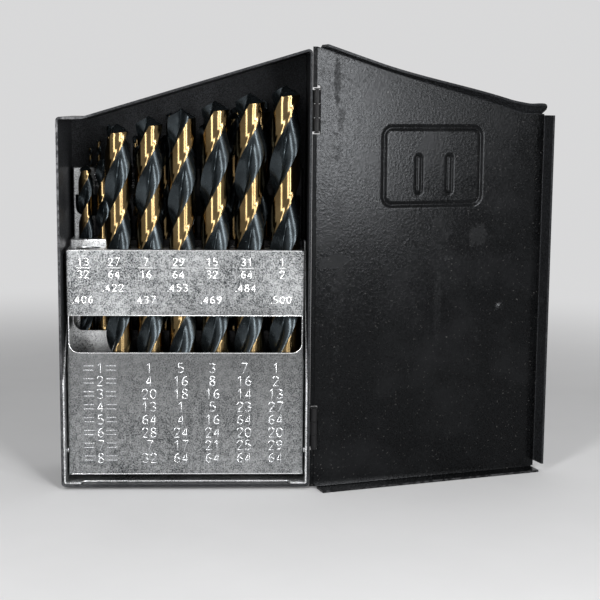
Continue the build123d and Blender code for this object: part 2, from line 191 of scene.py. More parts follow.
# Painted shade on the trays behind, which lie in the shadow of the front bits: where it starts across, and
# the band of heights that it leaves out.
MIDDLE_GAP_SHADE = (-28 * MM, (71 * MM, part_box("middle_tray_frame")[1].z - 8 * MM))
REAR_GAP_SHADE = (-42 * MM, (0.0, 0.0))

# --- Trays ---
TRAYS = {
    "front": range(26, 33),
    "middle": range(16, 26),
    "rear": range(4, 16),
}
EMPTY_PLACES = (26,)

# --- Stamped size marks ---
EMPTY_X = -40.04 * MM
MARK_SHIFT = -1.2 * MM
MARK_SUNK = 0.25  # how deep a stroke's axis lies in the face, in its radius
STAMP_SHADOW_SUNK = 0.9
LIP_SUNK = 0.5
SIZE_STROKE = 0.34 * MM  # radii of the strokes
TABLE_STROKE = 0.36 * MM
REAR_STROKE = 0.22 * MM
FRONT_FRACTION_HEIGHTS = (93.1 * MM, 90.6 * MM, 88.0 * MM)
FRACTION_DIGITS = (3.0 * MM, 2.6 * MM)  # height and pitch
FRACTION_BAR = 0.56  # its reach, in pitches of the digits
DECIMAL_HEIGHTS = (77.6 * MM, 82.5 * MM)  # even and odd 64ths
DECIMAL_SHIFT = -1.2 * MM
DECIMAL_DIGITS = (2.9 * MM, 2.7 * MM)
TABLE_TOP = 49.5 * MM
TABLE_STEP = 5.39 * MM
TABLE_LEFT = -15.1 * MM
TABLE_PITCH = 12.95 * MM
TABLE_DIGITS = (4.0 * MM, 3.3 * MM)
TABLE_LABEL_X = -35.0 * MM
LABEL_BAR = (2.5 * MM, 6.6 * MM)  # from and to, beside a row's number
LABEL_BAR_RISE = 0.9 * MM
# Plain numbers: sizes, and the counts and drills that go with them, from 1/4 to 1/2 inch.
TABLE = (
    ("1", "5", "3", "7", "1"),
    ("4", "16", "8", "16", "2"),
    ("20", "18", "16", "14", "13"),
    ("13", "1", "5", "23", "27"),
    ("64", "4", "16", "64", "64"),
    ("28", "24", "24", "20", "20"),
    ("7", "17", "21", "25", "29"),
    ("32", "64", "64", "64", "64"),
)
# Painted shadow beside each raised stroke: a dark stroke, sunk and shifted down and to the left, stands in
# for the stroke's shade.
STAMP_SHADOW_SHIFT = (-0.22 * MM, -0.26 * MM)  # of the dark groove beside a raised stroke
# Burr along the front tray's cut edges, painted bright as a painted highlight.
WINDOW_STRIP = 0.95 * MM  # of the face beside the window
WINDOW_HEIGHTS = (54.5 * MM, 69.7 * MM)
WINDOW_RADIUS = 4.0 * MM
LIP_RADIUS = 0.24 * MM
LIP_OUT = 0.16 * MM  # from the window's edge
LIP_INSET = 0.26 * MM  # from the face's upper and lower edges
LIP_END = 1.2 * MM
LIP_STEPS = 10
# Tray, heights of a fraction's parts, and its digits' height and pitch.
REAR_MARKS = (
    ("middle", (97.0 * MM, 94.7 * MM, 92.4 * MM), (2.3 * MM, 1.9 * MM)),
    ("rear", (126.4 * MM, 124.4 * MM, 122.4 * MM), (2.0 * MM, 1.6 * MM)),
)

# --- Twist drills: what follows from the diameter, and the flutes' lengths in inches ---
LEAD_IN_DIAMETERS = 5.5
LAND_SHARE = 0.43  # of each half turn, the rest is flute
MARGIN_ANGLE = radians(9.0)
CLEARANCE_RADIUS = 0.965  # of the land behind its margin, in radii
FLUTE_SKEW = 0.72
FLUTE_POWER = 1.5
WEB_AT_POINT = 0.2
WEB_AT_END = 0.36
CONE_HEIGHT = 1 / tan(radians(59.0))  # of the point, in radii
POINT_RELIEF = 0.16  # how much lower the heel is, per radius
POINT_RINGS = (0.75, 0.5, 0.25, 0.1)  # in radii
SHOULDER_ROWS = 4
FLUTE_COLUMNS = 17
LAND_COLUMNS = 10
MARGIN_COLUMNS = 2
ROWS_PER_TURN = 34
LEAST_ROWS = 8
RUN_OUT = 1.3  # length in which a flute ends, in diameters
RUN_OUT_POWER = 0.8
DRILL_STAND = 0.04 * MM  # keeps a drill from touching what it stands on
SHANK_RADIUS = 0.99
SHANK_CHAMFER = 0.25 * MM
SHANK_SIDES = 40
SHARP_EDGE = radians(32)
FLUTE_INCHES = {
    4: 0.875, 5: 1.0, 6: 1.25, 7: 1.5, 8: 1.625, 9: 1.75, 10: 2.0, 11: 2.125, 12: 2.3125,
    13: 2.4375, 14: 2.5, 15: 2.625, 16: 2.75, 17: 2.875, 18: 2.9375, 19: 3.0625, 20: 3.1875,
    21: 3.3125, 22: 3.4375, 23: 3.5, 24: 3.625, 25: 3.75, 27: 3.9375, 28: 4.0625, 29: 4.1875,
    30: 4.3125, 31: 4.375, 32: 4.5,
}
# How far below a drill's tip the middle of a land faces the front, in mm.
LAND_DROPS = {27: 35.3, 28: 41.2, 29: 47.95, 30: 43.1, 31: 45.1, 32: 44.1, 16: 38.0}
TURN_STEP = radians(67.0)  # between neighbours whose turn the photograph hides


def drill_node(size):
    """Name of the CAD node of a drill, from its size in 64ths of an inch."""
    share = Fraction(size, 64)
    return f"drill_bit_{share.numerator}_{share.denominator}"


# --- Materials ---
class Nodes:
    """A node tree, built node by node."""

    def __init__(self, tree):
        self.tree = tree

    def add(self, kind, inputs=None, **settings):
        node = self.tree.nodes.new(kind)
        for name, value in settings.items():
            setattr(node, name, value)
        for name, value in (inputs or {}).items():
            self.put(node, name, value)
        return node

    def put(self, node, name, value):
        """Sets a socket to a value or a colour, or links another socket to it."""
        socket = node.inputs[name]
        if isinstance(value, bpy.types.NodeSocket):
            self.tree.links.new(value, socket)
        else:
            socket.default_value = (*value, 1) if socket.type == "RGBA" else value

    def math(self, operation, a, b):
        return self.add("ShaderNodeMath", {0: a, 1: b}, operation=operation).outputs["Value"]

    def plus(self, a, b):
        return self.math("ADD", a, b)

    def times(self, a, b):
        return self.math("MULTIPLY", a, b)


class Look(Nodes):
    """One procedural material."""

    def __init__(self, name):
        self.material = bpy.data.materials.new(name)
        self.material.use_nodes = True
        super().__init__(self.material.node_tree)
        self.shader = self.tree.nodes["Principled BSDF"]
        self.place = self.add("ShaderNodeTexCoord").outputs["Object"]

    def set(self, **values):
        """Sets the shader's sockets; an underscore in a name stands for a space."""
        for name, value in values.items():
            self.put(self.shader, name.replace("_", " "), value)

    def noise(self, size, detail=2.0, stretch=(1, 1, 1), roughness=0.55):
        """Noise whose grains are about size metres wide."""
        scaled = self.add("ShaderNodeMapping", {"Vector": self.place, "Scale": stretch}).outputs["Vector"]
        inputs = {"Vector": scaled, "Scale": 1.0 / size, "Detail": detail, "Roughness": roughness}
        return self.add("ShaderNodeTexNoise", inputs).outputs["Fac"]

    def ramp(self, value, *stops):
        """Colours or greys at given places along a value."""
        node = self.add("ShaderNodeValToRGB", {"Fac": value})
        for element, (where, colour) in zip(node.color_ramp.elements, stops):
            element.position = where
            grey = isinstance(colour, float)
            element.color = (colour, colour, colour, 1) if grey else (*colour, 1)
        return node.outputs["Color"]

    def span(self, value, low, high, to_low, to_high):
        """Value carried from one span to another, held at its ends."""
        ends = {"From Min": low, "From Max": high, "To Min": to_low, "To Max": to_high}
        return self.add("ShaderNodeMapRange", {"Value": value, **ends}).outputs["Result"]

    def mix(self, share, a, b):
        """Colour a where share is 0 and b where it is 1."""
        inputs = {"Factor": share, 6: a, 7: b}
        return self.add("ShaderNodeMix", inputs, data_type="RGBA").outputs[2]

    def bump(self, height, depth, strength=1.0, under=None):
        """Relief of a given depth, in metres, on top of the relief under it."""
        inputs = {"Height": height, "Distance": depth, "Strength": strength}
        if under:
            inputs["Normal"] = under
        return self.add("ShaderNodeBump", inputs).outputs["Normal"]

    def axis(self, name):
        """One coordinate of the place on the piece."""
        return self.add("ShaderNodeSeparateXYZ", {"Vector": self.place}).outputs[name]


def powder_coat(name, worn_edge, shine, pale, smooth_coat, smudged=()):
    """Fine-textured black powder coat, speckled and rubbed, worn to metal along its free edges.

    Pale scales how light the coat is, and the copies below differ in it as painted light and shade;
    smooth_coat is its least roughness before the grain's share, and smudged lists greasy places on the
    lid.
    """
    look = Look(name)
    grain = look.noise(0.42 * MM, detail=2.5)
    pebble = look.noise(0.95 * MM, detail=2.0)
    cloud = look.noise(24 * MM, detail=4.0)
    dust = look.noise(0.8 * MM, detail=1.0)
    low_tone = tuple(pale * channel for channel in COAT_DARK)
    high_tone = tuple(pale * channel for channel in COAT_LIGHT)
    speck = look.ramp(grain, (0.40, low_tone), (0.64, high_tone))
    colour = look.mix(look.ramp(cloud, (0.45, 0.0), (0.72, 0.4)), speck, COAT_RUBBED)
    colour = look.mix(look.ramp(dust, (0.72, 0.0), (0.75, 0.75)), colour, COAT_DUST)
    colour = look.mix(worn_edge(look), colour, COAT_WORN)
    rough = look.span(cloud, 0.3, 0.7, smooth_coat, smooth_coat + 0.04)
    rough = look.plus(rough, look.span(grain, 0.35, 0.65, 0.05, -0.05))
    rough = look.plus(rough, look.span(pebble, 0.38, 0.62, 0.06, -0.06))
    if smudged:
        rough = look.plus(rough, look.times(smudges(look, smudged), SMUDGE_ROUGHNESS))
    relief = look.bump(grain, 0.022 * MM, 1.0, look.bump(pebble, 0.045 * MM, 1.0))
    look.set(Base_Color=colour, Roughness=rough, Normal=relief)
    look.set(Specular_IOR_Level=shine, Specular_Tint=COAT_SHEEN)
    return look.material


def lid_axis(look, direction):
    """How far a place lies from the hinge line, along a level direction."""
    start = (HINGE_X, rim_y, 0.0)
    offset = look.add("ShaderNodeVectorMath", {0: look.place, 1: start}, operation="SUBTRACT")
    inputs = {0: offset.outputs["Vector"], 1: direction}
    return look.add("ShaderNodeVectorMath", inputs, operation="DOT_PRODUCT").outputs["Value"]


def smudges(look, places):
    """1 in the greasy smudges of the lid's panel, with ragged edges, and 0 elsewhere."""
    ragged = look.span(look.noise(2.4 * MM, detail=4.0), 0.3, 0.7, -0.45, 0.45)
    across = lid_axis(look, (cos(LID_PAST_FLAT), sin(LID_PAST_FLAT), 0.0))
    height = look.axis("Z")
    most = None
    for u, z, half_u, half_z, strength in places:
        side = look.span(across, (u - half_u) * MM, (u + half_u) * MM, -1.0, 1.0)
        level = look.span(height, (z - half_z) * MM, (z + half_z) * MM, -1.0, 1.0)
        squared = look.plus(look.times(side, side), look.times(level, level))
        share = look.span(look.plus(squared, ragged), 0.25, 1.0, strength, 0.0)
        most = share if most is None else look.math("MAXIMUM", most, share)
    return most


def worn_rim(look):
    """Share of bare metal along the case's front rim, most of it at the free side's top."""
    patchy = look.noise(1.6 * MM, detail=4.0)
    near = look.span(look.axis("Y"), rim_y + 0.10 * MM, rim_y + 0.45 * MM, 1.0, 0.0)
    corner = look.span(look.axis("X"), case_low.x + 2 * MM, case_low.x + 18 * MM, 1.0, 0.03)
    height = look.span(look.axis("Z"), 90 * MM, 150 * MM, 0.3, 1.0)
    share = look.times(near, look.times(corner, height))
    return look.times(share, look.span(patchy, 0.42, 0.58, 0.1, 0.95))


def worn_flanges(look):
    """Share of rubbed coat along the edges of the lid's flanges."""
    patchy = look.noise(2.2 * MM, detail=4.0)
    depth = lid_axis(look, (sin(LID_PAST_FLAT), -cos(LID_PAST_FLAT), 0.0))
    near = look.span(depth, LID_FLANGE_EDGE - 0.3 * MM, LID_FLANGE_EDGE, 0.0, 0.6)
    return look.times(near, look.span(patchy, 0.45, 0.6, 0.03, 0.3))


def worn_top(look):
    """The same on the lid's upper and free flanges and its edge strip, which keep most of the coat."""
    return look.times(worn_flanges(look), 0.15)


def hinge_steel():
    """Black-coated steel of the hinge leaves and pins, smoother than the powder coat."""
    look = Look("black_hinge_steel")
    grain = look.noise(0.5 * MM, detail=3.0)
    rub = look.noise(3 * MM, detail=4.0, stretch=(1, 1, 0.25))
    rubbed = look.ramp(rub, (0.5, 0.0), (0.8, 0.5))
    look.set(Base_Color=look.mix(rubbed, (0.006, 0.006, 0.0065), (0.02, 0.02, 0.02)))
    look.set(Roughness=look.span(grain, 0.3, 0.7, 0.34, 0.48))
    look.set(Normal=look.bump(grain, 0.04 * MM, 0.5))
    look.set(Specular_IOR_Level=0.12)
    return look.material


def oil_film(look, from_x, bare_band):
    """Share of painted shade on a tray behind the front bits, where it lies in their shadow: right of
    from_x, apart from a band of heights.
    """
    fade_across, fade_up = GAP_SHADE_FADE
    right = look.span(look.axis("X"), from_x, from_x + fade_across, 0.0, 1.0)
    low, high = bare_band
    above = look.span(look.axis("Z"), high - fade_up, high, 0.0, 1.0)
    below = look.span(look.axis("Z"), low, low + fade_up, 1.0, 0.0)
    return look.times(right, look.plus(above, below))


def zinc(name, dark, light, low_shade_below, low_shade_tone, gap_shaded=None, low_shade_shares=ZINC_LOW_SHADE_SHARES):
    """Zinc-plated sheet with a fine mottled spangle, painted darker below a height as painted shade, and
    painted dark where asked as painted shade behind the front bits.
    """
    look = Look(name)
    grain = look.noise(0.55 * MM, detail=3.0, roughness=0.7)
    patch = look.noise(2.6 * MM, detail=3.0, roughness=0.6)
    cloud = look.noise(19 * MM, detail=2.0)
    mottle = look.plus(look.times(grain, 0.7), look.times(patch, 0.3))
    cloudy = look.span(cloud, 0.3, 0.7, -0.03, 0.03)
    tone = look.plus(mottle, cloudy)
    colour = look.ramp(tone, (0.40, dark), (0.60, light))
    height = look.plus(look.axis("Z"), look.span(cloud, 0.3, 0.7, -6 * MM, 6 * MM))
    below = look.span(height, low_shade_below, low_shade_below + LOW_SHADE_END, 1.0, 0.0)
    # Painted shade: darker below a height.
    low_shade = look.times(below, look.span(height, *LOW_SHADE_HEIGHTS, *low_shade_shares))
    colour = look.mix(low_shade, colour, tuple(low_shade_tone * channel for channel in light))
    if gap_shaded:
        # Painted shade behind the front bits.
        gap_shade_tone = look.ramp(tone, (0.40, GAP_SHADE_DARK), (0.60, GAP_SHADE_LIGHT))
        colour = look.mix(oil_film(look, *gap_shaded), colour, gap_shade_tone)
    rough = look.plus(look.span(grain, 0.3, 0.7, 0.25, 0.36), cloudy)
    look.set(Base_Color=colour, Roughness=rough, Normal=look.bump(mottle, 0.07 * MM, 0.4))
    look.set(Metallic=1.0)
    return look.material


def worked_metal(name, fine, broad, tones, roughness, relief, stops=(0.3, 0.7), **uniform):
    """Metal whose tone follows a broad noise, and whose gloss and relief follow a fine one."""
    look = Look(name)
    fine, broad = look.noise(*fine), look.noise(*broad)
    look.set(Base_Color=look.ramp(broad, *zip(stops, tones)))
    look.set(Roughness=look.span(fine, 0.3, 0.7, *roughness))
    look.set(Normal=look.bump(fine, *relief), Metallic=1.0)
    look.set(**uniform)
    return look.material


def stamped_zinc(name, dark, light):
    """Smoother zinc for the raised strokes, the dark strokes beside them and the cut edges, in tones that
    each use gives: painted highlights on the strokes and edges, and painted shadows beside the strokes.
    """
    grain = (0.4 * MM, 2.0)
    relief = (0.03 * MM, 0.3)
    return worked_metal(name, grain, grain, (dark, light), (0.18, 0.28), relief, (0.35, 0.65))


FINISHES = {
    # The case's copy is painted lighter than the lid's: a painted sheen on the inside of its back.
    "black_powder_coat": powder_coat("black_powder_coat", worn_rim, 0.12, 4.0, 0.38),
    "black_hinge_steel": hinge_steel(),
    "zinc_plated_sheet": zinc("zinc_plated_sheet", (0.20, 0.21, 0.215), (0.86, 0.87, 0.88), 40 * MM, 0.35),
    "bright_studs": worked_metal(
        "bright_studs", (0.25 * MM, 2.0), (1.2 * MM, 3.0), ((0.42, 0.42, 0.43), (0.72, 0.72, 0.73)),
        (0.2, 0.36), (0.02 * MM, 0.4),
    ),
}
# The lid panel's copy is painted darker, as painted shade, and its flanges' copy lighter than it, as
# painted light.
LID_COAT = powder_coat("black_powder_coat_lid", worn_flanges, 0.095, 0.5, 0.12, LID_SMUDGES)
LID_EDGE_COAT = powder_coat("black_powder_coat_lid_edge", worn_top, 0.03, 0.6, 0.30)
FLANGE_COAT = powder_coat("black_powder_coat_lid_top", worn_top, 0.05, 3.2, 0.24)
# The trays' copies of the one zinc plating are painted lighter or darker than one another as painted light
# and shade: darkest on the front tray, lightest on the middle tray.
NODE_ZINC = {
    "front_tray_frame": zinc(
        "zinc_plated_front_tray", (0.050, 0.056, 0.060), (0.52, 0.53, 0.535), 62 * MM, 0.22,
        low_shade_shares=FRONT_LOW_SHADE_SHARES,
    ),
    "middle_tray_frame": zinc(
        "zinc_plated_middle_tray", (0.52, 0.53, 0.535), (0.97, 0.975, 0.98), 68 * MM, 0.12, MIDDLE_GAP_SHADE,
    ),
    "rear_tray_frame": zinc("zinc_plated_rear_tray", PLATED_DARK, PLATED_LIGHT, 40 * MM, 0.35, REAR_GAP_SHADE),
    "tray_carrier": zinc("zinc_plated_carrier", PLATED_DARK, PLATED_LIGHT, -60 * MM, 1.0),
}
# The raised strokes are painted lighter than the front tray's sheet round them: a painted highlight.
TABLE_MARKS = stamped_zinc("zinc_stamped_table", (0.34, 0.35, 0.36), (0.68, 0.69, 0.70))
SIZE_MARKS = stamped_zinc("zinc_stamped_sizes", (0.80, 0.81, 0.815), (0.98, 0.98, 0.98))
# Painted shadow: dark zinc for the strokes beside the raised marks.
STAMP_SHADOW = stamped_zinc("zinc_painted_stamp_shadows", (0.10, 0.105, 0.11), (0.30, 0.31, 0.315))
# Painted highlight: bright zinc for the burrs along the cut edges.
CUT_EDGE_HIGHLIGHT = stamped_zinc("zinc_cut_edge_highlights", (0.62, 0.63, 0.635), (0.96, 0.965, 0.97))
# Ground lands and shanks of the drills, gold-bronze, with fine rings from the grinding.
GOLD = worked_metal(
    "gold_ground_steel", (2.2 * MM, 3.0, (0.25, 0.25, 14)), (7 * MM, 3.0),
    ((0.115, 0.078, 0.035), (0.185, 0.132, 0.064)), (0.17, 0.25), (0.006 * MM, 0.3),
    Anisotropic=0.85, Anisotropic_Rotation=0.25,
)
# Black oxide of the flutes and points, bluish where it catches the light.
OXIDE = worked_metal(
    "black_oxide_steel", (1.6 * MM, 3.0, (1, 1, 0.3)), (9 * MM, 3.0),
    ((0.022, 0.027, 0.030), (0.048, 0.058, 0.064)), (0.22, 0.32), (0.02 * MM, 0.3), Metallic=0.9,
)


def paint(piece, material):
    piece.data.materials.clear()
    piece.data.materials.append(material)


def new_object(name, data):
    thing = bpy.data.objects.new(name, data)
    bpy.context.scene.collection.objects.link(thing)
    return thing


def finished_mesh(build, name):
    mesh = bpy.data.meshes.new(name)
    build.to_mesh(mesh)
    build.free()
    return mesh


def add_piece(name, data, body, material):
    """Puts a new piece on a body, painted with the given material if there is one."""
    piece = new_object(name, data)
    if material is not None:
        paint(piece, material)
    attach(piece, body)
    return piece


def soften_edges(piece, width, limit=radians(40)):
    """Rounds a sheet's cut edges slightly, so that they catch the light."""
    bevel = piece.modifiers.new("edges", "BEVEL")
    bevel.width = width
    bevel.segments = 2
    bevel.limit_method = "ANGLE"
    bevel.angle_limit = limit
    bevel.use_clamp_overlap = True
    bevel.harden_normals = True


def finish_cad_nodes():
    """Gives each CAD node the finish of its slot, and breaks its sharp edges slightly."""
    slots = {row["node"]: row["material_slot"] for row in frame["record"]["subparts"]}
    for name, node in frame["nodes"].items():
        if slots[name] in FINISHES:
            paint(node, FINISHES[slots[name]])
            if slots[name] in ("black_powder_coat", "zinc_plated_sheet"):
                weld = node.modifiers.new("weld", "WELD")
                weld.merge_threshold = WELD_REACH
                soften_edges(node, EDGE_WIDTH)
    for name, zinc_plate in NODE_ZINC.items():
        paint(frame["nodes"][name], zinc_plate)


# --- Lid ---
def lid_place(u, v, z):
    """Place on the open lid, from its closed frame."""
    c, s = cos(LID_PAST_FLAT), sin(LID_PAST_FLAT)
    return Vector((HINGE_X + u * c + v * s, rim_y + u * s - v * c, z))


def top_slope(x):
    """Height and angle of the case's top at a place across, in its closed frame."""
    angle = atan2(HINGE_SIDE_HEIGHT - FREE_SIDE_HEIGHT, CASE_RIGHT - KNEE_X)
    reach = KNEE_RADIUS * tan(angle / 2)
    if x <= KNEE_X - reach:
        return FREE_SIDE_HEIGHT, 0.0
    past = x - (KNEE_X - reach)
    if past >= KNEE_RADIUS * sin(angle):
        return FREE_SIDE_HEIGHT + (x - KNEE_X) * tan(angle), angle
    rise = KNEE_RADIUS - sqrt(KNEE_RADIUS ** 2 - past ** 2)
    return FREE_SIDE_HEIGHT + rise, asin(past / KNEE_RADIUS)


def lid_top(u):
    """Height of the bend line along the panel's upper edge, and the slope there."""
    height, angle = top_slope(HINGE_X - u)
    offset = LID_GAP + LID_SHEET / 2 - LID_BEND
    raised = LID_RAISED * smooth(u, *RAISED_SPAN)
    return CASE_BOTTOM + height + offset / cos(angle) + raised, angle


def smooth(value, low, high):
    """0 below low, 1 above high, and a smooth run between them."""
    t = max(0.0, min(1.0, (value - low) / (high - low)))
    return t * t * (3 - 2 * t)


def from_rounded_box(x, y, half_x, half_y, radius):
    """Distance from the outline of a rounded rectangle, negative inside."""
    dx, dy = abs(x) - half_x + radius, abs(y) - half_y + radius
    outside = hypot(max(dx, 0.0), max(dy, 0.0))
    return outside + min(max(dx, dy), 0.0) - radius


def panel_relief(u, z):
    """How far the panel stands out of its plane, towards the inside of the closed case."""
    x, y = u / MM, z / MM
    middle_x, middle_y, half_x, half_y, radius = PRESS_FRAME
    line = abs(from_rounded_box(x - middle_x, y - middle_y, half_x, half_y, radius))
    depth = 1 - smooth(line, *PRESS_HALF_WIDTH)
    for rib_x, rib_y in PRESS_RIBS:
        rib = abs(from_rounded_box(x - rib_x, y - rib_y, *RIB_HALF_SIZE))
        depth = max(depth, 1 - smooth(rib, *RIB_WALL))
    across = max(0.0, 1 - (2 * u / LID_FREE - 1) ** 2)
    bow = LID_BOW * across * max(0.0, 1 - (2 * z / lid_top(u)[0] - 1) ** 2)
    wave = WAVE_DEPTH * sin(x / WAVE_SIZE[0] + WAVE_START[0])
    wave *= sin(y / WAVE_SIZE[1] + WAVE_START[1]) * across
    dent = exp(-((x - DENT_PLACE[0]) ** 2 + (y - DENT_PLACE[1]) ** 2) / DENT_RADIUS ** 2)
    return bow + wave - PRESS_DEPTH * depth - DENT_DEPTH * dent


def spread(start, end, step):
    """Even steps from start to end, without the end."""
    count = max(1, round((end - start) / step))
    return [start + (end - start) * i / count for i in range(count)]


def runs(stops):
    """Places along runs of even steps; a stop is where a run starts, and its step."""
    places = []
    for (start, step), (end, _) in zip(stops, stops[1:]):
        places += spread(start, end, step)
    return places + [stops[-1][0]]


def panel_columns():
    """U of the panel's columns, close together over the pressings."""
    start, end = PRESS_COLUMNS
    stops = [(LID_FLANGE_START, COARSE), (start, FINE), (end, MM), (LID_FREE - LID_NOTCH, None)]
    return [LID_START] + runs(stops) + [LID_FREE - LID_BEND]


def hinge_slots():
    """Heights between which the panel is cut back, at each hinge."""
    reach = HINGE_LENGTH / 2 + HINGE_SLOT
    return [(middle - reach, middle + reach) for middle in HINGE_HEIGHTS]


def panel_rows():
    """Heights of the panel's rows, up to where its upper edge begins to slope."""
    (low_start, low_end), (high_start, _) = hinge_slots()
    free_end = CASE_BOTTOM + FREE_SIDE_HEIGHT + LID_GAP + LID_SHEET - LID_NOTCH + LID_RAISED
    stops = [(LID_FLOOR + LID_BEND, COARSE), (low_start, COARSE), (low_end, COARSE)]
    stops += [(DIMPLE_ROWS[0], DIMPLE_STEP), (DIMPLE_ROWS[1], COARSE)]
    stops += [(PRESS_BOTTOM, FINE), (high_start, FINE), (free_end, None)]
    return runs(stops)


def panel_grid():
    """Spots of the panel, as u, v and z, column by column."""
    rows = panel_rows()
    last = rows[-1]
    middle = -LID_GAP - LID_SHEET / 2
    grid = []
    for u in panel_columns():
        left = lid_top(u)[0] - last
        heights = rows + [last + left * (i + 1) / UPPER_ROWS for i in range(UPPER_ROWS)]
        grid.append([(u, middle + panel_relief(u, z), z) for z in heights])
    return grid


def skin_panel(build, grid, spots):
    """Faces of the panel, which is cut back in its first column at the hinges."""
    slots = hinge_slots()
    for i in range(len(grid) - 1):
        for j in range(len(grid[0]) - 1):
            z = (grid[i][j][2] + grid[i][j + 1][2]) / 2
            if i == 0 and any(low < z < high for low, high in slots):
                continue
            build.faces.new((spots[i][j], spots[i + 1][j], spots[i + 1][j + 1], spots[i][j + 1]))


def flange_edges(grid):
    """Rows and columns of the panel's spots that its flanges start from."""
    last, top = len(grid) - 1, len(grid[0]) - 1
    free = [(last, j) for j in range(1, top + 1 - UPPER_ROWS)]
    return {
        "upper": [(i, top) for i in range(1, last)],
        "lower": [(i, 0) for i in range(1, last)],
        "free": [(i, j) for i, j in free if grid[i][j][2] >= LID_FLOOR + LID_NOTCH],
    }


def flange_line(start, side):
    """Places along the bend and the flange that leave a spot of the panel's edge."""
    u, v, z = start
    angle = lid_top(u)[1]
    outwards = {"upper": (sin(angle), cos(angle)), "lower": (0.0, -1.0), "free": (1.0, 0.0)}
    out_u, out_z = outwards[side]
    line = []
    for i in range(1, BEND_STEPS + 1):
        turn = pi / 2 * i / BEND_STEPS
        out = LID_BEND * sin(turn)
        line.append((u + out_u * out, v + LID_BEND * (1 - cos(turn)), z + out_z * out))
    end_u, end_v, end_z = line[-1]
    cut, flare = (rounded_tip(u), flange_flare(u)) if side == "upper" else (0.0, 0.0)
    steps = FLANGE_STEPS[side]
    for i in range(1, steps + 1):
        depth = end_v + (LID_FLANGE_EDGE - cut - end_v) * i / steps
        away = hypot(depth / MM - DIMPLE_PLACE[0], z / MM - DIMPLE_PLACE[1])
        dimple = DIMPLE_DEPTH * (1 - smooth(away, 0.0, DIMPLE_RADIUS)) if side == "free" else 0.0
        rise = flare * (depth - end_v) / (LID_FLANGE_EDGE - end_v)
        line.append((end_u + dimple, depth, end_z + rise))
    return line


def lid_sheet_mesh():
    """Middle of the lid's sheet: pressed panel and three bent flanges."""
    build = bmesh.new()
    grid = panel_grid()
    spots = [[build.verts.new(lid_place(*spot)) for spot in column] for column in grid]
    skin_panel(build, grid, spots)
    for side, edge in flange_edges(grid).items():
        lines = []
        for i, j in edge:
            line = flange_line(grid[i][j], side)
            lines.append([spots[i][j]] + [build.verts.new(lid_place(*spot)) for spot in line])
        for first, second in zip(lines, lines[1:]):
            for k in range(len(first) - 1):
                face = build.faces.new((first[k], second[k], second[k + 1], first[k + 1]))
                face.material_index = 0 if side == "lower" else 1
    bmesh.ops.delete(build, geom=[v for v in build.verts if not v.link_faces], context="VERTS")
    bmesh.ops.recalc_face_normals(build, faces=build.faces)
    for face in build.faces:
        face.smooth = True
    return finished_mesh(build, "lid_sheet")


def flange_flare(u):
    """How far the upper flange's edge is sprung upwards."""
    return sum(rise * smooth(u, start, end) for rise, start, end in FLARES)


def rounded_tip(u):
    """How much the upper flange is cut back towards its free end."""
    into = (u - (LID_FREE - LID_NOTCH - TIP_LENGTH)) / TIP_LENGTH
    into = max(0.0, min(1.0, into))
    return TIP_DEPTH * (1 - sqrt(1 - into ** 2))


def skin_rings(build, rings):
    """Smooth faces between neighbouring rings of spots, which are open."""
    for lower, upper in zip(rings, rings[1:]):
        for i in range(len(lower) - 1):
            build.faces.new((lower[i], lower[i + 1], upper[i + 1], upper[i])).smooth = True


def profile_rings(build, profile, heights):
    """The profile's spots at each height, on the lid."""
    return [[build.verts.new(lid_place(u, v, z)) for u, v in profile] for z in heights]


def curl_mesh():
    """Middle of the sheet of the lid's four knuckles: each a tab that is rolled round the pin."""
    build = bmesh.new()
    step = (HINGE_LENGTH + KNUCKLE_GAP) / 3
    profile = [(u * MM, v * MM) for u, v in KNUCKLE_TAB]
    for i in range(CURL_SPOTS):
        angle = radians(CURL_START - CURL_STEP * i)
        profile.append((KNUCKLE_MIDDLE_RADIUS * cos(angle), KNUCKLE_MIDDLE_RADIUS * sin(angle)))
    for middle in HINGE_HEIGHTS:
        for k in (0, 2):
            low = middle - HINGE_LENGTH / 2 + k * step
            ends = (low + KNUCKLE_TRIM, low + step - KNUCKLE_GAP - KNUCKLE_TRIM)
            skin_rings(build, profile_rings(build, profile, ends))
    return finished_mesh(build, "lid_knuckles")


def edge_strip_mesh():
    """Narrow strip along the panel's hinge edge, which closes most of the gap to the case."""
    build = bmesh.new()
    (low_start, low_end), (high_start, high_end) = hinge_slots()
    bottom, top = LID_FLOOR + LID_BEND, lid_top(LID_START)[0]
    profile = [(u * MM, v * MM) for u, v in EDGE_STRIP]
    for low, high in ((bottom, low_start), (low_end, high_start), (high_end, top)):
        heights = spread(low, high, EDGE_STRIP_STEP) + [high]
        skin_rings(build, profile_rings(build, profile, heights))
    return finished_mesh(build, "lid_edge_strip")


def thicken(piece, thickness, edge_width):
    solid = piece.modifiers.new("sheet", "SOLIDIFY")
    solid.thickness = thickness
    solid.offset = 0.0
    solid.use_even_offset = True
    soften_edges(piece, edge_width, radians(50))


def add_lid():
    steel = FINISHES["black_hinge_steel"]
    sheet = add_piece("lid_sheet", lid_sheet_mesh(), "lid", None)
    for coat in (LID_COAT, FLANGE_COAT):
        sheet.data.materials.append(coat)
    thicken(sheet, LID_SHEET, LID_EDGE_WIDTH)
    knuckles = add_piece("lid_knuckles", curl_mesh(), "lid", steel)
    thicken(knuckles, KNUCKLE_SHEET, KNUCKLE_ROUNDING)
    strip = add_piece("lid_edge_strip", edge_strip_mesh(), "lid", LID_EDGE_COAT)
    thicken(strip, EDGE_STRIP_SHEET, EDGE_STRIP_ROUNDING)
    for piece in (sheet, knuckles, strip):
        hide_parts("lid")


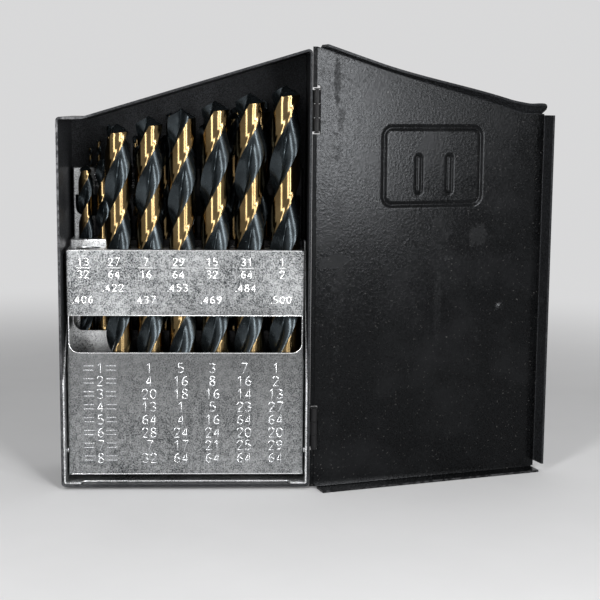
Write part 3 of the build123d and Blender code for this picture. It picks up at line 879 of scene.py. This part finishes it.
# --- Size marks ---
# Strokes of each digit in a cell 0.6 wide and 1 high.
STROKES = {
    "0": [
        [(.3, 0), (.07, .16), (0, .5), (.07, .84), (.3, 1), (.53, .84), (.6, .5), (.53, .16), (.3, 0)],
    ],
    "1": [[(.12, .76), (.34, 1), (.34, 0)]],
    "2": [[(.02, .76), (.12, .94), (.34, 1), (.55, .86), (.55, .62), (.3, .34), (.02, 0), (.6, 0)]],
    "3": [
        [(.03, .9), (.28, 1), (.53, .86), (.5, .62), (.24, .53), (.54, .43), (.58, .15), (.3, 0),
         (.02, .12)],
    ],
    "4": [[(.44, 0), (.44, 1), (0, .3), (.6, .3)]],
    "5": [[(.54, 1), (.1, 1), (.06, .56), (.32, .64), (.57, .47), (.57, .17), (.3, 0), (.02, .1)]],
    "6": [
        [(.5, .96), (.22, .86), (.04, .5), (.04, .2), (.28, 0), (.55, .15), (.56, .42), (.32, .57),
         (.06, .42)],
    ],
    "7": [[(.02, 1), (.6, 1), (.22, 0)]],
    "8": [
        [(.3, .54), (.08, .68), (.1, .92), (.3, 1), (.5, .92), (.52, .68), (.3, .54)],
        [(.3, .54), (.04, .36), (.06, .08), (.3, 0), (.54, .08), (.56, .36), (.3, .54)],
    ],
    "9": [
        [(.55, .58), (.28, .43), (.04, .58), (.05, .86), (.3, 1), (.56, .84), (.56, .45), (.36, .1),
         (.1, .04)],
    ],
    ".": [[(.62, .02), (.72, .1)]],
}


def written(text, x, z, digits):
    """Strokes of a number, centred at x, with its digits' middles at z."""
    size, pitch = digits
    lines = []
    start = x - pitch * (len(text) - 1) / 2
    for i, digit in enumerate(text):
        for stroke in STROKES[digit]:
            lines.append([(start + pitch * i + (a - 0.3) * size, z + (b - 0.5) * size) for a, b in stroke])
    return lines


def fraction_mark(size, x, heights, digits):
    """A stacked fraction of an inch."""
    share = Fraction(size, 64)
    above, bar, below = heights
    wide = max(len(str(share.numerator)), len(str(share.denominator)))
    reach = digits[1] * wide * FRACTION_BAR
    lines = written(str(share.numerator), x, above, digits)
    lines += written(str(share.denominator), x, below, digits)
    return lines + [[(x - reach, bar), (x + reach, bar)]]


def add_marks(name, tray, face_y, lines, radius, material, sunk=MARK_SUNK):
    """Raised rounded strokes on a tray's face, as one curve; sunk is in radii."""
    curve = bpy.data.curves.new(name, "CURVE")
    curve.dimensions = "3D"
    curve.bevel_depth = radius
    curve.bevel_resolution = 2
    curve.use_fill_caps = True
    for line in lines:
        spline = curve.splines.new("POLY")
        spline.points.add(len(line) - 1)
        for point, (x, z) in zip(spline.points, line):
            point.co = (x, face_y + sunk * radius, z, 1)
    add_piece(name, curve, tray, material)


def decimal_text(size):
    """Three decimals of an inch; an exact half rounds down, as on the trays."""
    return "." + str(ceil(1000 * size / 64 - 0.5)).zfill(3)


def front_sizes():
    """Fractions and decimals over the window."""
    lines = []
    for size in TRAYS["front"]:
        x = bit_x(size)
        lines += fraction_mark(size, x, FRONT_FRACTION_HEIGHTS, FRACTION_DIGITS)
        z = DECIMAL_HEIGHTS[size % 2]
        lines += written(decimal_text(size), x + DECIMAL_SHIFT, z, DECIMAL_DIGITS)
    return lines


def front_table():
    """Table of plain numbers under the window."""
    lines = []
    for row, texts in enumerate(TABLE):
        z = TABLE_TOP - row * TABLE_STEP
        for column, text in enumerate(texts):
            lines += written(text, TABLE_LEFT + column * TABLE_PITCH, z, TABLE_DIGITS)
        lines += row_mark(str(row + 1), TABLE_LABEL_X, z)
    return lines


def row_mark(number, x, z):
    """A row's number between two pairs of short bars."""
    lines = written(number, x, z, TABLE_DIGITS)
    start, end = LABEL_BAR
    for side in (-1, 1):
        for rise in (-LABEL_BAR_RISE, LABEL_BAR_RISE):
            lines.append([(x + side * start, z + rise), (x + side * end, z + rise)])
    return lines


def bit_x(size):
    """X of a size's mark: the drill's place, or the empty place beside its neighbour."""
    if size in EMPTY_PLACES:
        return EMPTY_X + MARK_SHIFT
    low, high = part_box(drill_node(size))
    return (low.x + high.x) / 2 + MARK_SHIFT


def add_size_marks():
    faces = {tray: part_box(f"{tray}_tray_frame")[0].y for tray in TRAYS}
    sizes, table = front_sizes(), front_table()
    face = faces["front"]
    add_marks("front_tray_sizes", "front_tray", face, sizes, SIZE_STROKE, SIZE_MARKS)
    add_marks("front_tray_table", "front_tray", face, table, TABLE_STROKE, TABLE_MARKS)
    # Painted shadows: dark strokes beside the raised ones, on their shaded side.
    for name, lines in (("front_tray_size_shadows", sizes), ("front_tray_table_shadows", table)):
        stamp_shadows = shifted(lines, *STAMP_SHADOW_SHIFT)
        add_marks(name, "front_tray", face, stamp_shadows, SIZE_STROKE, STAMP_SHADOW, STAMP_SHADOW_SUNK)
    for tray, heights, digits in REAR_MARKS:
        lines = []
        for size in TRAYS[tray]:
            lines += fraction_mark(size, bit_x(size), heights, digits)
        add_marks(f"{tray}_tray_marks", f"{tray}_tray", faces[tray], lines, REAR_STROKE, TABLE_MARKS)


def shifted(lines, x, z):
    """The strokes moved across and up."""
    return [[(a + x, b + z) for a, b in line] for line in lines]


def window_line(low, high):
    """Outline just outside the front tray's window: square above, rounded below."""
    left, right = low.x + WINDOW_STRIP - LIP_OUT, high.x - WINDOW_STRIP + LIP_OUT
    bottom, top = (CASE_BOTTOM + height for height in WINDOW_HEIGHTS)
    bottom, top, radius = bottom - LIP_OUT, top + LIP_OUT, WINDOW_RADIUS + LIP_OUT
    line = [(left, top)]
    for centre_x, start in ((left + radius, 180), (right - radius, 270)):
        for i in range(LIP_STEPS + 1):
            angle = radians(start + 90 * i / LIP_STEPS)
            line.append((centre_x + radius * cos(angle), bottom + radius + radius * sin(angle)))
    return line + [(right, top), (left, top)]


def add_lips():
    """Raised burrs along the front tray's cut edges, painted bright as a painted highlight: round its
    window, on top and below.
    """
    low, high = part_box("front_tray_frame")
    ends = (low.x + LIP_END, high.x - LIP_END)
    above = [(x, high.z - LIP_INSET) for x in ends]
    below = [(x, low.z + LIP_INSET) for x in ends]
    lips = {"front_tray_window_lip": [window_line(low, high)], "front_tray_edge_lips": [above, below]}
    for name, lines in lips.items():
        add_marks(name, "front_tray", low.y, lines, LIP_RADIUS, CUT_EDGE_HIGHLIGHT, LIP_SUNK)


# --- Twist drills ---
def section():
    """Columns round a drill: angle, share of the way across a flute, and kind."""
    columns = []
    land = LAND_SHARE * pi
    flute = pi - land
    for start in (0.0, pi):
        for i in range(LAND_COLUMNS):
            angle = start + (land - MARGIN_ANGLE) * i / LAND_COLUMNS
            columns.append((angle, None, "heel" if i == 0 else "land"))
        for i in range(MARGIN_COLUMNS + 1):
            angle = start + land - MARGIN_ANGLE * (1 - i / MARGIN_COLUMNS)
            columns.append((angle, None, "margin"))
        for i in range(1, FLUTE_COLUMNS):
            across = i / FLUTE_COLUMNS
            columns.append((start + land + flute * across, across, "flute"))
    return columns


def column_radius(across, kind, web):
    """Radius at a column, in radii; a flute is steep behind the lip and gentle up to the heel."""
    if kind == "flute":
        return web + (1 - web) * abs(2 * across ** FLUTE_SKEW - 1) ** FLUTE_POWER
    return 1.0 if kind == "margin" else CLEARANCE_RADIUS


def on_land(first, second):
    """Whether the face between two neighbouring columns is ground, and so gold."""
    if first[2] == "heel":
        return True
    return first[2] != "flute" and second[2] not in ("flute", "heel")


def around(centre, length, angle, z):
    """Place at a distance and an angle from a drill's axis."""
    return Vector((centre.x + length * cos(angle), centre.y + length * sin(angle), z))


class Drill:
    """One twist drill, and how its flutes turn and end."""

    def __init__(self, size, centre, bottom, tip, turn):
        self.size, self.centre, self.bottom, self.tip, self.turn = size, centre, bottom, tip, turn
        self.radius = size * INCH / 64 / 2
        self.lead = LEAD_IN_DIAMETERS * 2 * self.radius
        self.flute_end = tip - FLUTE_INCHES[size] * INCH
        self.shoulder = tip - self.radius * (CONE_HEIGHT + POINT_RELIEF)

    def web(self, z):
        """Radius of the web in radii, which grows to the whole drill where the flutes run out."""
        share = (z - self.flute_end) / (self.tip - self.flute_end)
        web = WEB_AT_END + (WEB_AT_POINT - WEB_AT_END) * share
        out = min(1.0, (z - self.flute_end) / (RUN_OUT * 2 * self.radius))
        return 1 - (1 - web) * sin(out * pi / 2) ** RUN_OUT_POWER

    def lengths(self, columns, z):
        """Angle and radius of each column at a height, before the twist."""
        web = self.web(z)
        return [(angle, self.radius * column_radius(across, kind, web)) for angle, across, kind in columns]

    def twisted(self, angle, z):
        return angle + self.turn + 2 * pi * (z - self.tip) / self.lead

    def end_height(self, angle, length):
        """Height of the cone at a column: its lips stand highest and its heels lowest."""
        land = LAND_SHARE * pi
        past = angle % pi
        behind = (land - past) / land if past <= land else 0.0
        return self.tip - length * (CONE_HEIGHT + POINT_RELIEF * behind)

    def body_rings(self, columns):
        """Places of the fluted body, ring by ring, up to the cone's edge."""
        rows = max(LEAST_ROWS, round((self.shoulder - self.flute_end) / self.lead * ROWS_PER_TURN))
        rings = []
        for i in range(rows + 1):
            z = self.flute_end + (self.shoulder - self.flute_end) * i / rows
            lengths = self.lengths(columns, z)
            rings.append([around(self.centre, length, self.twisted(a, z), z) for a, length in lengths])
        for step in range(1, SHOULDER_ROWS + 1):
            ring = []
            for angle, length in self.lengths(columns, self.tip):
                rise = self.end_height(angle, length) - self.shoulder
                z = self.shoulder + rise * step / SHOULDER_ROWS
                ring.append(around(self.centre, length, self.twisted(angle, z), z))
            rings.append(ring)
        return rings

    def point_rings(self, columns):
        """Places of the cone, ring by ring, inwards from its edge."""
        rings = []
        for share in POINT_RINGS:
            ring = []
            for angle, length in self.lengths(columns, self.tip):
                z = self.end_height(angle, length * share)
                turned = self.twisted(angle, self.end_height(angle, length))
                ring.append(around(self.centre, length * share, turned, z))
            rings.append(ring)
        return rings


def skin_drill(build, rings, columns, body_count):
    """Faces between the rings; those of the body's lands take the first material."""
    count = len(columns)
    for r, (lower, upper) in enumerate(zip(rings, rings[1:])):
        for i in range(count):
            j = (i + 1) % count
            face = build.faces.new((lower[i], lower[j], upper[j], upper[i]))
            ground = r < body_count - 1 and on_land(columns[i], columns[j])
            face.material_index = 0 if ground else 1
            face.smooth = True


def drill_mesh(drill):
    """Mesh of a twist drill: twisted flutes under a split cone, on a plain shank."""
    columns = section()
    build = bmesh.new()
    body = drill.body_rings(columns)
    rings = [[build.verts.new(place) for place in ring] for ring in body + drill.point_rings(columns)]
    skin_drill(build, rings, columns, len(body))
    peak = build.verts.new((drill.centre.x, drill.centre.y, drill.tip))
    last = rings[-1]
    for first, second in zip(last, last[1:] + last[:1]):
        face = build.faces.new((first, second, peak))
        face.material_index = 1
        face.smooth = True
    add_shank(build, drill.centre, drill.radius * SHANK_RADIUS, drill.bottom, drill.flute_end)
    sharpen(build)
    mesh = finished_mesh(build, drill_node(drill.size) + "_twist")
    mesh.materials.append(GOLD)
    mesh.materials.append(OXIDE)
    return mesh


def add_shank(build, centre, radius, bottom, top):
    """Plain round shank with chamfered ends."""
    profile = [
        (0.0, bottom),
        (radius - SHANK_CHAMFER, bottom),
        (radius, bottom + SHANK_CHAMFER),
        (radius, top),
        (radius - SHANK_CHAMFER, top + SHANK_CHAMFER),
        (0.0, top + SHANK_CHAMFER),
    ]
    rings = []
    for length, z in profile:
        if length == 0.0:
            rings.append([build.verts.new((centre.x, centre.y, z))] * SHANK_SIDES)
            continue
        angles = [2 * pi * i / SHANK_SIDES for i in range(SHANK_SIDES)]
        rings.append([build.verts.new(around(centre, length, angle, z)) for angle in angles])
    for lower, upper in zip(rings, rings[1:]):
        for i in range(SHANK_SIDES):
            j = (i + 1) % SHANK_SIDES
            corners = list(dict.fromkeys((lower[i], lower[j], upper[j], upper[i])))
            build.faces.new(corners).smooth = True


def sharpen(build):
    """Marks sharp edges, so that they shade as edges."""
    build.normal_update()
    for edge in build.edges:
        if len(edge.link_faces) == 2 and edge.calc_face_angle(0) > SHARP_EDGE:
            edge.smooth = False


def drill_turn(size, centre, order):
    """Turn of a drill in its hole, so that a land faces the camera at its known place."""
    if size not in LAND_DROPS:
        return order * TURN_STEP
    lead = LEAD_IN_DIAMETERS * size * INCH / 64
    facing = atan2(CAMERA_PLACE.y - centre.y, CAMERA_PLACE.x - centre.x)
    return facing - LAND_SHARE * pi / 2 + 2 * pi * LAND_DROPS[size] * MM / lead


def add_drills():
    order = 0
    for tray, sizes in TRAYS.items():
        for size in sizes:
            if size in EMPTY_PLACES:
                continue
            node = drill_node(size)
            low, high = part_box(node)
            centre = (low + high) / 2
            order += 1
            turn = drill_turn(size, centre, order)
            mesh = drill_mesh(Drill(size, centre, low.z + DRILL_STAND, high.z, turn))
            piece = add_piece(mesh.name, mesh, node, None)
            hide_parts(node)


# --- Camera, light and floor ---
def add_camera():
    camera = new_object("camera", bpy.data.cameras.new("camera"))
    bpy.context.scene.camera = camera
    camera.data.sensor_width = SENSOR
    camera.data.lens = FOCAL_PIXELS / PHOTO_SIDE * SENSOR
    camera.data.clip_start = CLIP_START
    camera.data.clip_end = CLIP_END
    ahead = Vector((sin(CAMERA_YAW), cos(CAMERA_YAW), 0))
    level = Vector((cos(CAMERA_YAW), -sin(CAMERA_YAW), 0))
    forward = ahead * cos(CAMERA_PITCH) - Vector((0, 0, sin(CAMERA_PITCH)))
    above = level.cross(forward)
    right = level * cos(CAMERA_ROLL) + above * sin(CAMERA_ROLL)
    up = above * cos(CAMERA_ROLL) - level * sin(CAMERA_ROLL)
    turn = Matrix((right, up, -forward)).transposed().to_4x4()
    camera.matrix_world = Matrix.Translation(CAMERA_PLACE) @ turn


def add_area_light(name, place, target, size, power):
    data = bpy.data.lights.new(name, "AREA")
    data.shape = "RECTANGLE"
    data.size, data.size_y = size
    data.energy = power
    lamp = new_object(name, data)
    lamp.location = place
    lamp.rotation_mode = "QUATERNION"
    lamp.rotation_quaternion = (Vector(target) - Vector(place)).to_track_quat("-Z", "Y")
    lamp.visible_camera = False


def plainly_seen(nodes):
    """1 for a ray that shows the background: from the camera, off metal or through glass."""
    path = nodes.add("ShaderNodeLightPath").outputs
    seen = nodes.math("MAXIMUM", path["Is Camera Ray"], path["Is Glossy Ray"])
    return nodes.math("MAXIMUM", seen, path["Is Transmission Ray"])


def mixed(nodes, share, first, second):
    """Shader that is the first node's where share is 0, and the second's where it is 1."""
    shades = {0: share, 1: first.outputs[0], 2: second.outputs[0]}
    return nodes.add("ShaderNodeMixShader", shades).outputs[0]


def add_world():
    world = bpy.data.worlds.new("studio")
    bpy.context.scene.world = world
    world.use_nodes = True
    world.node_tree.nodes.clear()
    nodes = Nodes(world.node_tree)
    light = nodes.add("ShaderNodeBackground", {"Color": (1, 1, 1), "Strength": WORLD_STRENGTH})
    background = nodes.add("ShaderNodeBackground", {"Color": BACKGROUND})
    shade = mixed(nodes, plainly_seen(nodes), light, background)
    nodes.add("ShaderNodeOutputWorld", {"Surface": shade})


def floor_material():
    """Pale matt floor that turns into the plain background further off."""
    look = Look("floor")
    blotch = look.noise(60 * MM, detail=3.0)
    darker = tuple(FLOOR_DARKER * channel for channel in FLOOR_COLOUR)
    look.set(Base_Color=look.ramp(blotch, (0.35, darker), (0.65, FLOOR_COLOUR)))
    look.set(Roughness=0.9, Specular_IOR_Level=0.1)
    distance = look.add("ShaderNodeVectorMath", {0: look.place}, operation="LENGTH").outputs["Value"]
    near, far = FLOOR_FADE
    span = {"Value": distance, "From Min": near, "From Max": far}
    fade = look.add("ShaderNodeMapRange", span, interpolation_type="SMOOTHSTEP").outputs["Result"]
    seen = look.times(fade, plainly_seen(look))
    plain = look.add("ShaderNodeEmission", {"Color": BACKGROUND})
    shade = mixed(look, seen, look.shader, plain)
    look.put(look.tree.nodes["Material Output"], "Surface", shade)
    return look.material


def add_floor():
    build = bmesh.new()
    bmesh.ops.create_circle(build, cap_ends=True, segments=96, radius=FLOOR_RADIUS)
    floor = new_object("floor", finished_mesh(build, "floor"))
    paint(floor, floor_material())


add_camera()
add_world()
add_floor()
for lamp in LAMPS:
    add_area_light(*lamp)
finish_cad_nodes()
add_lid()
add_drills()
add_size_marks()
add_lips()

bpy.context.scene.view_settings.view_transform = "Standard"
